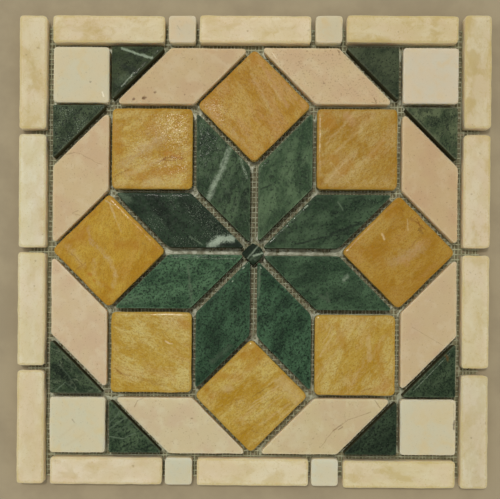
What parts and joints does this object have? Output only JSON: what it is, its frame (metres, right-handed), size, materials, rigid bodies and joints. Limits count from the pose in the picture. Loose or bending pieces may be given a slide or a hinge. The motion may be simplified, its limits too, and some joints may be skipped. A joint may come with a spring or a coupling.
{
  "type": "mosaic panel",
  "caption": "Square stone mosaic panel with an eight-pointed star in a field of squares and rhombi and a brick border, its tiles glued on a mesh with open joints.",
  "frame": {"origin": "centre of the back, on the underside of the backing mesh", "axes": "+Z out of the stone face, +Y towards the top of the pattern, +X to its right"},
  "size_m": [0.2984, 0.2991, 0.0104],
  "materials": {
    "green_marble": "honed, satin",
    "gold_marble": "tumbled, waxy",
    "rosy_marble": "tumbled, matt",
    "ivory_marble": "honed, matt",
    "cream_marble": "tumbled, matt",
    "glued_mesh": "woven glass fibre"
  },
  "bodies": {
    "root": {"star_point_nne": "green_marble", "star_point_nnw": "green_marble", "star_point_wnw": "green_marble", "star_point_wsw": "green_marble", "star_point_ssw": "green_marble", "star_point_sse": "green_marble", "star_point_ese": "green_marble", "star_point_ene": "green_marble", "green_triangle_nne": "green_marble", "green_triangle_nnw": "green_marble", "green_triangle_wnw": "green_marble", "green_triangle_wsw": "green_marble", "green_triangle_ssw": "green_marble", "green_triangle_sse": "green_marble", "green_triangle_ese": "green_marble", "green_triangle_ene": "green_marble", "centre_chip": "green_marble", "gold_square_ne": "gold_marble", "gold_square_nw": "gold_marble", "gold_square_sw": "gold_marble", "gold_square_se": "gold_marble", "gold_diamond_n": "gold_marble", "gold_diamond_w": "gold_marble", "gold_diamond_s": "gold_marble", "gold_diamond_e": "gold_marble", "pink_rhombus_nne": "rosy_marble", "pink_rhombus_nnw": "rosy_marble", "pink_rhombus_wnw": "rosy_marble", "pink_rhombus_wsw": "rosy_marble", "pink_rhombus_ssw": "rosy_marble", "pink_rhombus_sse": "rosy_marble", "pink_rhombus_ese": "rosy_marble", "pink_rhombus_ene": "rosy_marble", "ivory_corner_ne": "ivory_marble", "ivory_corner_nw": "ivory_marble", "ivory_corner_sw": "ivory_marble", "ivory_corner_se": "ivory_marble", "border_square_top_1": "ivory_marble", "border_square_top_2": "ivory_marble", "border_square_bottom_1": "ivory_marble", "border_square_bottom_2": "ivory_marble", "border_brick_top_1": "cream_marble", "border_brick_top_2": "cream_marble", "border_brick_top_3": "cream_marble", "border_brick_bottom_1": "cream_marble", "border_brick_bottom_2": "cream_marble", "border_brick_bottom_3": "cream_marble", "border_brick_left_1": "cream_marble", "border_brick_left_2": "cream_marble", "border_brick_left_3": "cream_marble", "border_brick_left_4": "cream_marble", "border_brick_right_1": "cream_marble", "border_brick_right_2": "cream_marble", "border_brick_right_3": "cream_marble", "border_brick_right_4": "cream_marble", "backing_mesh": "glued_mesh"}
  },
  "joints": []
}
